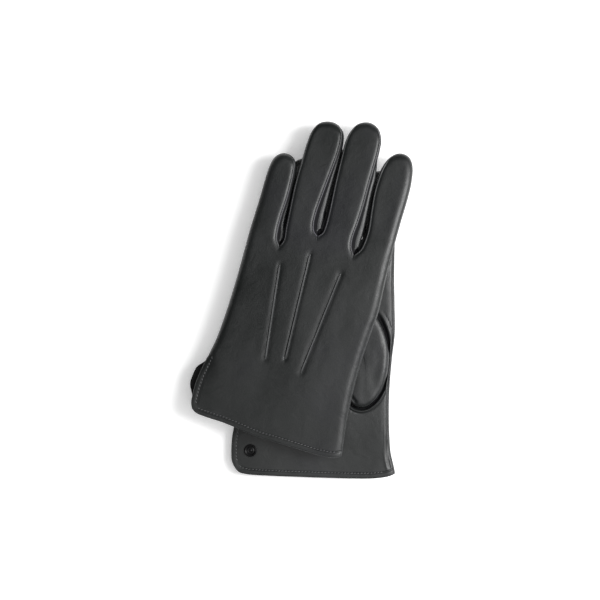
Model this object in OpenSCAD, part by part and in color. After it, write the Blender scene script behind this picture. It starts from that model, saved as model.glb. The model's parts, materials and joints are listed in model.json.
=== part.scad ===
// A pair of lined leather dress gloves, lying one on the other as they are sold.
//
// The right glove lies at the bottom with its palm up. The left glove lies on
// it with its back up, turned by left_lean. The thumbs are folded flat between
// the two palms, so the left glove rests tilted by left_roll.
//
// Each glove is drawn as a left one with its back up: X towards the thumb,
// Y from the cuff to the fingertips, Z from palm to back. Z = 0 is the outside
// of the palm leather. The right glove is the same pattern turned over.

/* [Leather and lining] */
// Thickness of the glove leather
leather_t = 0.8; // [0.6:0.1:0.9]
// Thickness of the knitted lining
lining_t = 1; // [0.6:0.1:1]
// Height of an empty glove, from palm leather to back leather
glove_h = 11; // [11:0.5:13]
// Width of the leather walls along the sides and fingers
wall_t = 1.2; // [1:0.1:1.5]

/* [Hand] */
// Width across the knuckles
palm_w = 110; // [108:1:112]
// How far the cuff flares on the little finger's side
flare_vent = 7.9; // [4:0.1:9]
// How far the cuff flares on the thumb's side
flare_thumb = 5; // [2:0.5:7]
// Height above the cuff at which the flare starts
wrist_y = 90; // [80:5:100]
// Fullness over the ball of the thumb
ball_bulge = 2.3; // [0:0.1:3]
// How far the middle of the cuff dips below its corners
cuff_dip = 2.8; // [0:0.2:4]

/* [Cuff] */
// Depth of the leather turned in at the cuff
hem_depth = 12; // [8:1:14]
// Length of the open vent on the little finger's side
vent_l = 44; // [35:1:50]
// Width of the leather turned in along the vent
vent_facing_w = 5; // [4:0.5:6]
// Radius of the rounded corner at the vent
vent_corner_r = 8.5; // [6:0.5:10]
// Diameter of the ornamental rivet
rivet_d = 10; // [8:0.5:11]
// Height of the rivet's head above the leather
rivet_h = 1.1; // [0.8:0.1:1.2]

/* [Points on the back] */
// Width of each raised tuck
point_w = 1.2; // [0.8:0.1:1.6]
// Height of the left glove's tucks above the leather
point_proud = 0.7; // [0.3:0.1:1]

/* [Thumb] */
// Width of the thumb hole in the palm
thumb_hole_w = 28; // [26:1:29]
// Length of the thumb hole in the palm
thumb_hole_l = 72; // [64:1:74]
// Width of the thumb near its tip
thumb_w = 26; // [25:1:28]
// Distance from the thumb's pivot to the middle of its tip's curve
thumb_reach = 53; // [46:1:54]
// Inward fold of the right thumb over the palm
right_thumb_fold = 25; // [15:1:30]
// Inward fold of the left thumb under the palm
left_thumb_fold = 0; // [0:1:4]
// Thickness of the lining pressed flat inside the thumb
thumb_lining_t = 2.4; // [1.6:0.2:2.4]

/* [Lie of the pair] */
// Turn of the left glove against the right one
left_lean = 13.5; // [10:0.5:16]
// Tilt of the left glove, thumb side up
left_roll = 5.2; // [5.2:0.1:6]
// Height of the left palm's middle line above the ground
left_rise = 17.8; // [17.8:0.1:20]

/* [Hidden] */

$fn = 48;
leather_colour = [0.17, 0.18, 0.18];
facing_colour = [0.12, 0.13, 0.13];
lining_colour = [0.08, 0.08, 0.09];
metal_colour = [0.05, 0.05, 0.05];

LITTLE = 0;
RING = 1;
MIDDLE = 2;
INDEX = 3;

// Each finger: [middle at the base, width at the base, middle at the tip,
// width at the tip, height of the base line, height of the fingertip]
FINGERS = [
    [-43.8, 21.6, -43.5, 20.8, 139, 212],
    [-19.3, 22.0, -17.6, 24.6, 149, 244.7],
    [12.1, 23.3, 11.3, 26.3, 154, 252.5],
    [43.9, 22.6, 42.9, 24.8, 149, 236.6]
];
finger_gap = 0.5;        // between a finger's base and the hand
tip_l = 12;              // length of the rounded part of a fingertip
tip_power = 2.3;         // 2 is an ellipse, more is squarer
spread = 12;             // largest sideways swing of a finger, in degrees
base_slope = tan(spread + 1);
// How far each left finger droops from the tilted palm, in degrees
DROOP = [0.8, 2, 3.4, 5.8];
// How far each right finger leans towards the index finger, in degrees
TOE_IN = [3.4, 2.2, 1.2, 0];

half_palm = palm_w / 2;
inner_h = glove_h - 2 * leather_t;
skin_gap = 0.3;          // between palm leather and folded thumb
thumb_hole_c = [37.5, 88];
thumb_pivot = [37.5, 80];
thumb_seam_w = 1.2;      // width of the leather that turns down to the thumb seam
thumb_layer_t = leather_t + thumb_lining_t;
rivet_at = [-48.7, 16.8];
rivet_post_r = 1.5;
rivet_clear = 0.05;
lining_clear = 0.1;
groove_d = 0.4;          // depth of the tucks' feet in the back leather
thumb_corner_r = 3;      // cuff corner on the thumb's side
far = 100;               // further out than any edge of the hand
ball_y = 108;            // middle of the fullness over the ball of the thumb
ball_half_l = 40;        // half its length
outline_step = 8;        // distance between points along the hand's edges
side_start_y = 12;       // lowest point of the fold on the thumb's side

// The three tucks: [x, y] of the end by the cuff, and of the end by the knuckles
POINTS = [
    [[-16, 55.7], [-24.9, 128.5]],
    [[-1.3, 60.2], [-4.5, 142.2]],
    [[13.1, 52.8], [22.1, 134.2]]
];

// The crotches between the fingers: [x, y, width]
CROTCHES = [[-31.6, 141, 2.4], [-6.6, 150.5, 2.4], [28.1, 151, 7]];
quirk_inset = 3.2;               // from the crotch back to the gusset's far edge

left_at = [-35.7, 30.3];         // left cuff's middle, from the right cuff's middle
pair_centre = [-12.2, 135.5];    // middle of the pair's outline, from the same point

// ---- curves ----

function smooth(t) = let (c = min(max(t, 0), 1)) c * c * (3 - 2 * c);

// Edge on the little finger's side, and on the thumb's side, at height y
function vent_x(y) = -half_palm - flare_vent * smooth((wrist_y - y) / 70);
function ball_x(y) = abs(y - ball_y) < ball_half_l
    ? ball_bulge * pow(cos(90 * (y - ball_y) / ball_half_l), 2) : 0;
function thumb_x(y) = half_palm + flare_thumb * smooth((wrist_y / 2 - y) / (wrist_y / 2)) + ball_x(y);
function cuff_y(x) = -cuff_dip * (1 - pow(x / 62, 2));

function base_y(i) = FINGERS[i][4];
vent_corner = [vent_x(0) + vent_corner_r, vent_corner_r + 1];
thumb_corner = [thumb_x(0) - thumb_corner_r, thumb_corner_r];

function vent_side(y0, y1, inset = 0) =
    [for (y = [y0 : (y1 - y0) / round(abs(y1 - y0) / outline_step) : y1]) [vent_x(y) + inset, y]];
function thumb_side(y0, y1, inset = 0) =
    [for (y = [y0 : (y1 - y0) / round(abs(y1 - y0) / outline_step) : y1]) [thumb_x(y) - inset, y]];
function arc(c, r, a0, a1) = [for (a = [a0 : (a1 - a0) / 6 : a1]) c + r * [cos(a), sin(a)]];

// The hand's outline, anticlockwise from the little finger's base
hand_outline = concat(
    vent_side(base_y(LITTLE), vent_corner.y + 6),
    arc(vent_corner, vent_corner_r, 180, 270),
    [for (x = [-48 : 12 : 48]) [x, cuff_y(x)]],
    arc(thumb_corner, thumb_corner_r, -90, 0),
    thumb_side(side_start_y, base_y(INDEX)),
    [[28, base_y(INDEX)], [28, base_y(MIDDLE)], [-5, base_y(MIDDLE)], [-5, base_y(RING)],
     [-31.5, base_y(RING)], [-31.5, base_y(LITTLE)]]
);

// A finger's outline: a shallow point at the base, so it can swing sideways,
// and a rounded tip. drop moves the base towards the cuff.
function tip_round(v) = sign(v) * pow(abs(v), 2 / tip_power);
function finger_outline(f, inset = 0, start = 0, drop = 0) =
    let (base = f[1] / 2 - inset, tip = f[3] / 2 - inset, y = start - drop)
    concat(
        [[f[2], f[5] - inset]],
        [for (a = [75 : -15 : 0])
            [f[2] + tip * tip_round(cos(a)), f[5] - tip_l + (tip_l - inset) * tip_round(sin(a))]],
        [[f[0] + base, y + base * base_slope], [f[0], y], [f[0] - base, y + base * base_slope]],
        [for (a = [180 : -15 : 105])
            [f[2] + tip * tip_round(cos(a)), f[5] - tip_l + (tip_l - inset) * tip_round(sin(a))]]
    );

// ---- 2D pieces ----

module slot_2d(c, w, l) {
    translate(c) {
        square([w, l - w], center = true);
        for (s = [-1, 1]) translate([0, s * (l - w) / 2]) circle(d = w);
    }
}

module thumb_hole_2d(grow = 0) slot_2d(thumb_hole_c, thumb_hole_w + 2 * grow, thumb_hole_l + 2 * grow);

module thumb_tube_2d(fold, inset = 0) translate(thumb_pivot) rotate(fold)
    slot_2d([0, thumb_reach / 2], thumb_w - 2 * inset, thumb_reach + thumb_w - 2 * inset);

module hand_2d() polygon(hand_outline);

module quirks_2d(grow = 0) for (c = CROTCHES)
    translate([c.x - c[2] / 2 - grow, c.y - quirk_inset - grow])
        square([c[2] + 2 * grow, wall_t + 2 * grow]);

// Everything up to a height above the cuff
module below_2d(y) translate([-far, -far]) square([2 * far, far + y]);

module cuff_band_2d(depth) intersection() {
    hand_2d();
    below_2d(depth);
}

module lining_2d() difference() {
    intersection() {
        polygon(concat(vent_side(base_y(LITTLE), vent_l, wall_t + lining_clear),
            vent_side(vent_l, hem_depth + 8, vent_facing_w + 2 * lining_clear),
            [[vent_x(0) + vent_facing_w + 2 * lining_clear, hem_depth + lining_clear],
             [thumb_x(hem_depth) - wall_t - lining_clear, hem_depth + lining_clear]],
            thumb_side(20, base_y(INDEX), wall_t + lining_clear),
            [[29.5, base_y(INDEX)], [25, base_y(MIDDLE)], [-3.5, base_y(MIDDLE)],
             [-9.5, base_y(RING)], [-28.5, base_y(RING)], [-34.5, base_y(LITTLE)]]));
        hand_2d();
    }
    translate(rivet_at) circle(r = rivet_d / 2);
    quirks_2d(lining_clear);
}

module vent_strip_2d() polygon(concat(
    vent_side(vent_l, hem_depth + 2, wall_t * 0.4),
    vent_side(hem_depth + 2, vent_l, vent_facing_w)));

module slab(z, h) translate([0, 0, z]) linear_extrude(h) children();

// ---- places ----

module on_left() {
    translate([left_at.x - pair_centre.x, left_at.y - pair_centre.y, left_rise])
        rotate([0, 0, -left_lean]) rotate([0, -left_roll, 0]) children();
}

module on_right() {
    translate([-pair_centre.x, -pair_centre.y, glove_h]) mirror([0, 0, 1]) children();
}

module droop(i) {
    translate([0, base_y(i) + finger_gap, glove_h]) rotate([-DROOP[i], 0, 0])
        translate([0, -base_y(i) - finger_gap, -glove_h]) children();
}

module toe_in(i) {
    pivot = [FINGERS[i][0], base_y(i) + finger_gap, 0];
    translate(pivot) rotate(-TOE_IN[i]) translate(-pivot) children();
}

// ---- the hand's pieces ----

module back_leather() color(leather_colour) difference() {
    slab(glove_h - leather_t, leather_t) hand_2d();
    for (p = POINTS) tuck(p, glove_h - groove_d, 1);
}

module palm_leather() color(leather_colour) slab(0, leather_t) difference() {
    hand_2d();
    thumb_hole_2d();
    translate(rivet_at) circle(r = rivet_post_r + rivet_clear);
}

// The leather folds round the hand on the thumb's side
module side_fold() color(leather_colour) slab(leather_t, inner_h)
    polygon(concat(thumb_side(side_start_y, base_y(INDEX)),
                   thumb_side(base_y(INDEX), side_start_y, wall_t)));

// The seam closes the little finger's side above the vent
module outer_seam() color(leather_colour) slab(leather_t, inner_h)
    polygon(concat(vent_side(base_y(LITTLE), vent_l), vent_side(vent_l, base_y(LITTLE), wall_t)));

// Small gussets that close the hand between the fingers
module quirks() color(leather_colour) slab(leather_t, inner_h) quirks_2d();

// Leather turned in round the cuff, inside back and palm
module hem_facing() color(facing_colour)
    for (z = [leather_t, glove_h - leather_t - lining_t]) slab(z, lining_t) cuff_band_2d(hem_depth);

module vent_facing() color(facing_colour)
    for (z = [leather_t, glove_h - leather_t - lining_t]) slab(z, lining_t) difference() {
        vent_strip_2d();
        below_2d(hem_depth + lining_clear);
    }

// One raised tuck between two points, from height z
module tuck(p, z, h) {
    run = p[1] - p[0];
    translate([p[0].x, p[0].y, z]) rotate([0, 0, atan2(run.y, run.x)])
        translate([0, -point_w / 2, 0]) cube([norm(run), point_w, h]);
}

module points_on_back(proud) color(leather_colour)
    for (p = POINTS) tuck(p, glove_h - groove_d, groove_d + proud);

module hand_lining() color(lining_colour) {
    slab(glove_h - leather_t - lining_t, lining_t) lining_2d();
    slab(leather_t, lining_t) difference() {
        lining_2d();
        thumb_hole_2d();
    }
}

// Domed head with a plain raised ring, outside the palm flap
module rivet_cap() color(metal_colour) translate([rivet_at.x, rivet_at.y, 0]) rotate([180, 0, 0]) {
    cylinder(d = rivet_d, h = rivet_h * 0.6);
    rotate_extrude() translate([rivet_d * 0.36, rivet_h * 0.6]) circle(r = rivet_h * 0.4);
    cylinder(d = rivet_d * 0.36, h = rivet_h);
}

// Post through the leather, with the washer that holds it from inside
module rivet_post() color(metal_colour) translate([rivet_at.x, rivet_at.y, 0]) {
    cylinder(r = rivet_post_r, h = leather_t);
    translate([0, 0, leather_t]) cylinder(d = rivet_d * 0.8, h = lining_t * 0.8);
}

// ---- the thumb's pieces, folded flat outside the palm ----

module thumb_outer(fold) color(leather_colour) slab(-skin_gap - thumb_layer_t - leather_t, leather_t) {
    thumb_hole_2d(thumb_seam_w);
    thumb_tube_2d(fold);
}

// The leather next to the palm, and the rim that turns down to the thumb seam
module thumb_inner(fold) color(leather_colour) {
    slab(-skin_gap - leather_t, leather_t) difference() {
        thumb_tube_2d(fold);
        thumb_hole_2d(thumb_seam_w);
    }
    slab(-skin_gap - thumb_layer_t, thumb_layer_t) difference() {
        thumb_hole_2d(thumb_seam_w);
        thumb_hole_2d();
        thumb_tube_2d(fold);
    }
}

module thumb_lining(fold) color(lining_colour)
    slab(-skin_gap - thumb_layer_t, thumb_lining_t) difference() {
        thumb_tube_2d(fold, wall_t / 2);
        thumb_hole_2d(thumb_seam_w + lining_clear);
    }

// ---- the fingers' pieces ----

// Height at which a drooping finger's leather starts, clear of the hand below
function finger_start(i, bend) = base_y(i) + finger_gap + glove_h * sin(bend);

module finger_skin(i, z, bend) color(leather_colour)
    slab(z, leather_t) polygon(finger_outline(FINGERS[i], 0, finger_start(i, bend)));

// The strips between back and front, joined round the fingertip
module finger_fourchette(i, bend) color(leather_colour) slab(leather_t, inner_h) difference() {
    polygon(finger_outline(FINGERS[i], 0, finger_start(i, bend)));
    polygon(finger_outline(FINGERS[i], wall_t, finger_start(i, bend), 8));
}

module finger_lining(i, bend) color(lining_colour)
    for (z = [leather_t, glove_h - leather_t - lining_t]) slab(z, lining_t)
        polygon(finger_outline(FINGERS[i], wall_t + lining_clear, finger_start(i, bend)));

module left_finger(i, piece) on_left() droop(i) {
    if (piece == "back") finger_skin(i, glove_h - leather_t, DROOP[i]);
    if (piece == "front") finger_skin(i, 0, DROOP[i]);
    if (piece == "fourchette") finger_fourchette(i, DROOP[i]);
    if (piece == "lining") finger_lining(i, DROOP[i]);
}

module right_finger(i, piece) on_right() toe_in(i) {
    if (piece == "back") finger_skin(i, glove_h - leather_t, 0);
    if (piece == "front") finger_skin(i, 0, 0);
    if (piece == "fourchette") finger_fourchette(i, 0);
    if (piece == "lining") finger_lining(i, 0);
}

// ---- left glove, on top ----

module left_back() on_left() back_leather();
module left_palm() on_left() palm_leather();
module left_thumb_side_fold() on_left() side_fold();
module left_outer_seam() on_left() outer_seam();
module left_quirks() on_left() quirks();
module left_hem_facing() on_left() hem_facing();
module left_vent_facing() on_left() vent_facing();
module left_points() on_left() points_on_back(point_proud);
module left_hand_lining() on_left() hand_lining();
module left_rivet_cap() on_left() rivet_cap();
module left_rivet_post() on_left() rivet_post();
module left_thumb_outer() on_left() thumb_outer(left_thumb_fold);
module left_thumb_inner() on_left() thumb_inner(left_thumb_fold);
module left_thumb_lining() on_left() thumb_lining(left_thumb_fold);

// ---- right glove, underneath ----

module right_back() on_right() back_leather();
module right_palm() on_right() palm_leather();
module right_thumb_side_fold() on_right() side_fold();
module right_outer_seam() on_right() outer_seam();
module right_quirks() on_right() quirks();
module right_hem_facing() on_right() hem_facing();
module right_vent_facing() on_right() vent_facing();
module right_points() on_right() points_on_back(0);
module right_hand_lining() on_right() hand_lining();
module right_rivet_cap() on_right() rivet_cap();
module right_rivet_post() on_right() rivet_post();
module right_thumb_outer() on_right() thumb_outer(right_thumb_fold);
module right_thumb_inner() on_right() thumb_inner(right_thumb_fold);
module right_thumb_lining() on_right() thumb_lining(right_thumb_fold);

left_back();
left_palm();
left_thumb_side_fold();
left_outer_seam();
left_quirks();
left_hem_facing();
left_vent_facing();
left_points();
left_hand_lining();
left_rivet_cap();
left_rivet_post();
left_thumb_outer();
left_thumb_inner();
left_thumb_lining();
left_finger(LITTLE, "back");  // left_little_back
left_finger(LITTLE, "front");  // left_little_front
left_finger(LITTLE, "fourchette");  // left_little_fourchette
left_finger(LITTLE, "lining");  // left_little_lining
left_finger(RING, "back");  // left_ring_back
left_finger(RING, "front");  // left_ring_front
left_finger(RING, "fourchette");  // left_ring_fourchette
left_finger(RING, "lining");  // left_ring_lining
left_finger(MIDDLE, "back");  // left_middle_back
left_finger(MIDDLE, "front");  // left_middle_front
left_finger(MIDDLE, "fourchette");  // left_middle_fourchette
left_finger(MIDDLE, "lining");  // left_middle_lining
left_finger(INDEX, "back");  // left_index_back
left_finger(INDEX, "front");  // left_index_front
left_finger(INDEX, "fourchette");  // left_index_fourchette
left_finger(INDEX, "lining");  // left_index_lining

right_back();
right_palm();
right_thumb_side_fold();
right_outer_seam();
right_quirks();
right_hem_facing();
right_vent_facing();
right_points();
right_hand_lining();
right_rivet_cap();
right_rivet_post();
right_thumb_outer();
right_thumb_inner();
right_thumb_lining();
right_finger(LITTLE, "back");  // right_little_back
right_finger(LITTLE, "front");  // right_little_front
right_finger(LITTLE, "fourchette");  // right_little_fourchette
right_finger(LITTLE, "lining");  // right_little_lining
right_finger(RING, "back");  // right_ring_back
right_finger(RING, "front");  // right_ring_front
right_finger(RING, "fourchette");  // right_ring_fourchette
right_finger(RING, "lining");  // right_ring_lining
right_finger(MIDDLE, "back");  // right_middle_back
right_finger(MIDDLE, "front");  // right_middle_front
right_finger(MIDDLE, "fourchette");  // right_middle_fourchette
right_finger(MIDDLE, "lining");  // right_middle_lining
right_finger(INDEX, "back");  // right_index_back
right_finger(INDEX, "front");  // right_index_front
right_finger(INDEX, "fourchette");  // right_index_fourchette
right_finger(INDEX, "lining");  // right_index_lining
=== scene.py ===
"""A pair of black leather dress gloves, lying one on the other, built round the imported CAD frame.

Each glove is worked out flat, in millimetres, in its own pattern axes: X towards the thumb, Y from
the cuff to the fingertips, Z up from the lower sheet of leather. place() then puts it on its CAD
bodies. The right glove lies palm up, the left one on it with its back up.
"""
import json
import math

import bpy
import numpy as np
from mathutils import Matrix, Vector, kdtree, noise


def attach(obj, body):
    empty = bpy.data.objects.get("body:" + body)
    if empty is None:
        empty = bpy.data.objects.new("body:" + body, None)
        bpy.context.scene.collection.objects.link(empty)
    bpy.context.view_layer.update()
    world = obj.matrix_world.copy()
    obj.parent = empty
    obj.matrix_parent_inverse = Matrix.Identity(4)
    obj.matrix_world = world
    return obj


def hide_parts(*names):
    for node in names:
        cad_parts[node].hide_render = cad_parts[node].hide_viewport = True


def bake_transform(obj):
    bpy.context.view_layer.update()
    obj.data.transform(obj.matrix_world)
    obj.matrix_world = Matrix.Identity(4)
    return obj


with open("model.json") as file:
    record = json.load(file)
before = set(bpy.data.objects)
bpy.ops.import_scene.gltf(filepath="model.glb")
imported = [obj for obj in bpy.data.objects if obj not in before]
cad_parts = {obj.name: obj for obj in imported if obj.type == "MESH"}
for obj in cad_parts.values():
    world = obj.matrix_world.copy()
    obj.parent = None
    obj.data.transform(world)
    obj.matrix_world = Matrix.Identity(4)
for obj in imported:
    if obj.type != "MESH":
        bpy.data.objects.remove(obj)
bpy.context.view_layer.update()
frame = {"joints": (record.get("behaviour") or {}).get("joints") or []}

MM = 0.001

FINGERS = ("little", "ring", "middle", "index")

# ---- the pattern, in millimetres

# Each finger's outline, from its crotch on the little finger's side, round the tip, to the other.
FINGER_OUTLINES = {
    "little": [(-54.6, 135), (-54.8, 148), (-54.1, 174), (-54, 190), (-53.4, 199.5), (-51.6, 206.4),
               (-48.2, 210.6), (-43.4, 212.2), (-38.4, 211), (-35, 207.2), (-33.8, 201), (-33.2, 190),
               (-33, 178), (-33.6, 166), (-33.4, 154), (-32.2, 146.6), (-29, 142)],
    "ring": [(-29, 142), (-27.1, 147.5), (-28, 157), (-29, 171), (-30.3, 190), (-30.3, 210),
             (-30, 226), (-28.6, 235.4), (-24.6, 242.2), (-17.5, 245), (-10.8, 243.8), (-6.5, 239.4),
             (-4.8, 231), (-4.9, 220), (-6.1, 206), (-7.5, 190), (-8.5, 176), (-8.1, 166),
             (-6.4, 160.4), (-2.7, 157.3)],
    "middle": [(-2.7, 157.3), (0.3, 161), (1, 168), (0.6, 180), (-0.7, 199), (-1.6, 220), (-1.9, 233),
               (-0.4, 242), (4.2, 249.8), (12, 252.6), (19.3, 249.6), (23.5, 242.4), (24.7, 233),
               (24.7, 221), (24.7, 205), (24.9, 190), (24.4, 175), (23.6, 162.5), (24.8, 155.4),
               (28, 150.4)],
    "index": [(28, 150.4), (31.8, 156), (33.3, 164), (33.2, 174), (31.5, 187), (30.1, 200),
              (30, 211), (31.2, 223), (34.3, 231.6), (38.8, 235.9), (43.6, 236.8), (48.4, 235),
              (52.5, 228.6), (54.7, 218), (55.4, 205), (55.2, 185), (55.3, 168), (55.6, 150)],
}
# Edge of the hand on the little finger's side, from the cuff's rounded corner up
VENT_EDGE = [(-60.4, 3.9), (-62.4, 8.6), (-63, 16), (-62.7, 27), (-61, 38), (-59, 50), (-57.2, 60),
             (-55.7, 77), (-54.8, 97), (-54.5, 120), (-54.6, 135)]
# Edge of the hand on the thumb's side, from the cuff up
THUMB_EDGE = [(59.6, 0), (58.3, 10), (56.5, 25), (55, 48), (54.8, 70), (56, 94), (57.3, 111),
              (56.5, 132), (55.6, 150)]
# Cuff edge, from the rounded corner to the thumb's side
CUFF_EDGE = {
    "left": [(-60.4, 3.9), (-56.6, 1.8), (-50, 1.1), (-34, 0.5), (-21, -0.9), (-8, -2.6), (11, -3),
             (27, -3.3), (43, -3.5), (54, -2.4), (59.6, 0)],
    "right": [(-60.4, 3.9), (-57, 0.2), (-50, -1.4), (-34, -1.9), (-8, -2), (11, -2), (30, -1.8),
              (44, -1.2), (52, 0), (56, 1.2), (59.6, 3)],
}
# The palm-up glove is spread a little wider on the thumb's side.
THUMB_SIDE_SPREAD = {"left": 1.0, "right": 1.047}
CORNER_SHIFT = (1.6, 3.0)       # and the corner of its cuff there is moved by this
POINTS = [((-16, 55.7), (-24.9, 128.5)), ((-1.3, 60.2), (-4.5, 142.2)), ((13.1, 52.8), (22.1, 134.2))]
RIVET = (-48.7, 16.8)

GLOVE_H = 11.0          # height of an empty glove
FLOOR_GAP = 0.12        # the lower sheet's height above the pattern plane
MIDDLE_Z = GLOVE_H / 2
FOLD_R, SEAM_R, FLAP_R = 6.0, 4.2, 15.0     # how far in from an edge the sheets round off
FOLD_SOFT = 0.15        # from 0, an edge rolled round, to 1, an edge that slopes down flat
EDGE_HALF = 1.5         # half the height left between the sheets at a plain edge
SEAM_HALF = 4.2         # half the height of a fourchette
FLAP_HALF = 3.4         # half the opening at the vent
VENT_TOP = 44.0
TUCK_ROOM = 1.3         # half width of the room left under a tuck's strip
CROWN = {"left": 1.9, "right": 0.2}         # how far the middle of the hand stands up
CUFF_SAG = 2.0          # how far the empty cuff sinks
WAVE, RIPPLE = 0.8, 0.16                    # long and short unevenness of the upper sheet
SEAM_RIDGE, SEAM_GROOVE = (0.45, 0.45), (0.3, 1.35)     # height, and distance from the edge
SEAM_LINE_W = 0.4
HEM_FADE = 6.0          # length over which the vent's turned edge ends above the vent
POINT_HALF = 2.2        # half the width of the strip that carries a tuck
INNER_OFFSET = 1.7      # from the outside of the leather to the face of the lining
# along this width the seam's edge is coloured lighter: cut edge and painted highlight
SEAM_EDGE = 0.7         # width of the leather's edge that shows along a seam
PEEK = 5.0              # how far the lower flap of the back-up glove shows past the upper one
TIP_FADE = 15.0         # length over which a fourchette narrows towards the fingertip

# CAD numbers that the pose of each finger needs: the height of its hinge line on the pattern, and
# its middle there
HINGE_Y = {"little": 139.5, "ring": 149.5, "middle": 154.5, "index": 149.5}
HINGE_X = {"little": -43.8, "ring": -19.3, "middle": 12.1, "index": 43.9}
DROOP = {"little": 0.8, "ring": 2.0, "middle": 3.4, "index": 5.8}
TOE_IN = {"little": 3.4, "ring": 2.2, "middle": 1.2, "index": 0.0}
# Where each finger's leather starts to bend, and the length over which it does
BLEND_START = {"little": 143.0, "ring": 158.5, "middle": 158.5, "index": 152.0}
BLEND_LENGTH = 20.0

# ---- small maths


def smooth(t):
    t = np.clip(t, 0.0, 1.0)
    return t * t * (3 - 2 * t)


def between(t, start, end, a, b):
    """The point at t on a line that is at a for t = start and at b for t = end."""
    return (end - t) / (end - start) * a + (t - start) / (end - start) * b


def spline(points, per_span=14):
    """A smooth open curve through the points (centripetal Catmull-Rom), as a dense polyline."""
    p = np.array(points, float)
    p = np.vstack([2 * p[0] - p[1], p, 2 * p[-1] - p[-2]])
    out = []
    for a, b, c, d in zip(p[:-3], p[1:-2], p[2:-1], p[3:]):
        t0, t1 = 0.0, math.sqrt(np.linalg.norm(b - a))
        t2 = t1 + math.sqrt(np.linalg.norm(c - b))
        t3 = t2 + math.sqrt(np.linalg.norm(d - c))
        for t in np.linspace(t1, t2, per_span, endpoint=False):
            middle = between(t, t1, t2, b, c)
            first = between(t, t0, t2, between(t, t0, t1, a, b), middle)
            second = between(t, t1, t3, middle, between(t, t2, t3, c, d))
            out.append(between(t, t1, t2, first, second))
    out.append(p[-2])
    return np.array(out)


def lengths(curve):
    return np.concatenate([[0], np.cumsum(np.linalg.norm(np.diff(curve, axis=0), axis=1))])


def along(curve, fractions):
    """Points at these fractions of a polyline's length."""
    s = lengths(curve)
    f = np.asarray(fractions) * s[-1]
    return np.stack([np.interp(f, s, curve[:, k]) for k in range(curve.shape[1])], axis=-1)


def clustered(n, tight):
    """n + 1 fractions from 0 to 1, closer together near both ends."""
    t = np.linspace(0, 1, n + 1)
    eased = t - np.sin(2 * np.pi * t) / (2 * np.pi)
    return (1 - tight) * t + tight * eased


def tree_of(points):
    tree = kdtree.KDTree(len(points))
    for i, (x, y) in enumerate(points):
        tree.insert((x, y, 0), i)
    tree.balance()
    return tree


def coons(bottom, top, left, right, across):
    """A grid of points between four edge curves: bottom and top by column, left and right by row."""
    v = lengths(left) / lengths(left)[-1] * 0.5 + lengths(right) / lengths(right)[-1] * 0.5
    v, u = v[:, None, None], across[None, :, None]
    grid = (1 - v) * bottom[None] + v * top[None] + (1 - u) * left[:, None] + u * right[:, None]
    grid -= ((1 - u) * (1 - v) * bottom[0] + u * (1 - v) * bottom[-1]
             + (1 - u) * v * top[0] + u * v * top[-1])
    grid[0], grid[-1], grid[:, 0], grid[:, -1] = bottom, top, left, right
    return grid


def bell(distance, width):
    return math.exp(-(distance / width) ** 2)


def segment_distance(p, a, b):
    p, a, b = (np.array(q, float) for q in (p, a, b))
    t = min(max(float((p - a) @ (b - a) / ((b - a) @ (b - a))), 0.0), 1.0)
    return float(np.linalg.norm(p - a - t * (b - a)))


# ---- one glove's flat pattern

FINGER_COLUMNS = 26
HAND_ROW = 1.5          # spacing of the rows
CUFF_ROW = 0.4          # and close to the cuff
CUFF_FINE = 7.0
FINGER_ROW = 1.3
ROW_EASE = 1.15         # above 1, the rows draw together towards the fingertip
TIP_COLUMN_ANGLE = 50   # where the outline turns past this, the tip's row begins
FREE_SAMPLES, THUMB_SAMPLES = 900, 400      # samples of the cuff's and vent's edge, and of the thumb's


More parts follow.
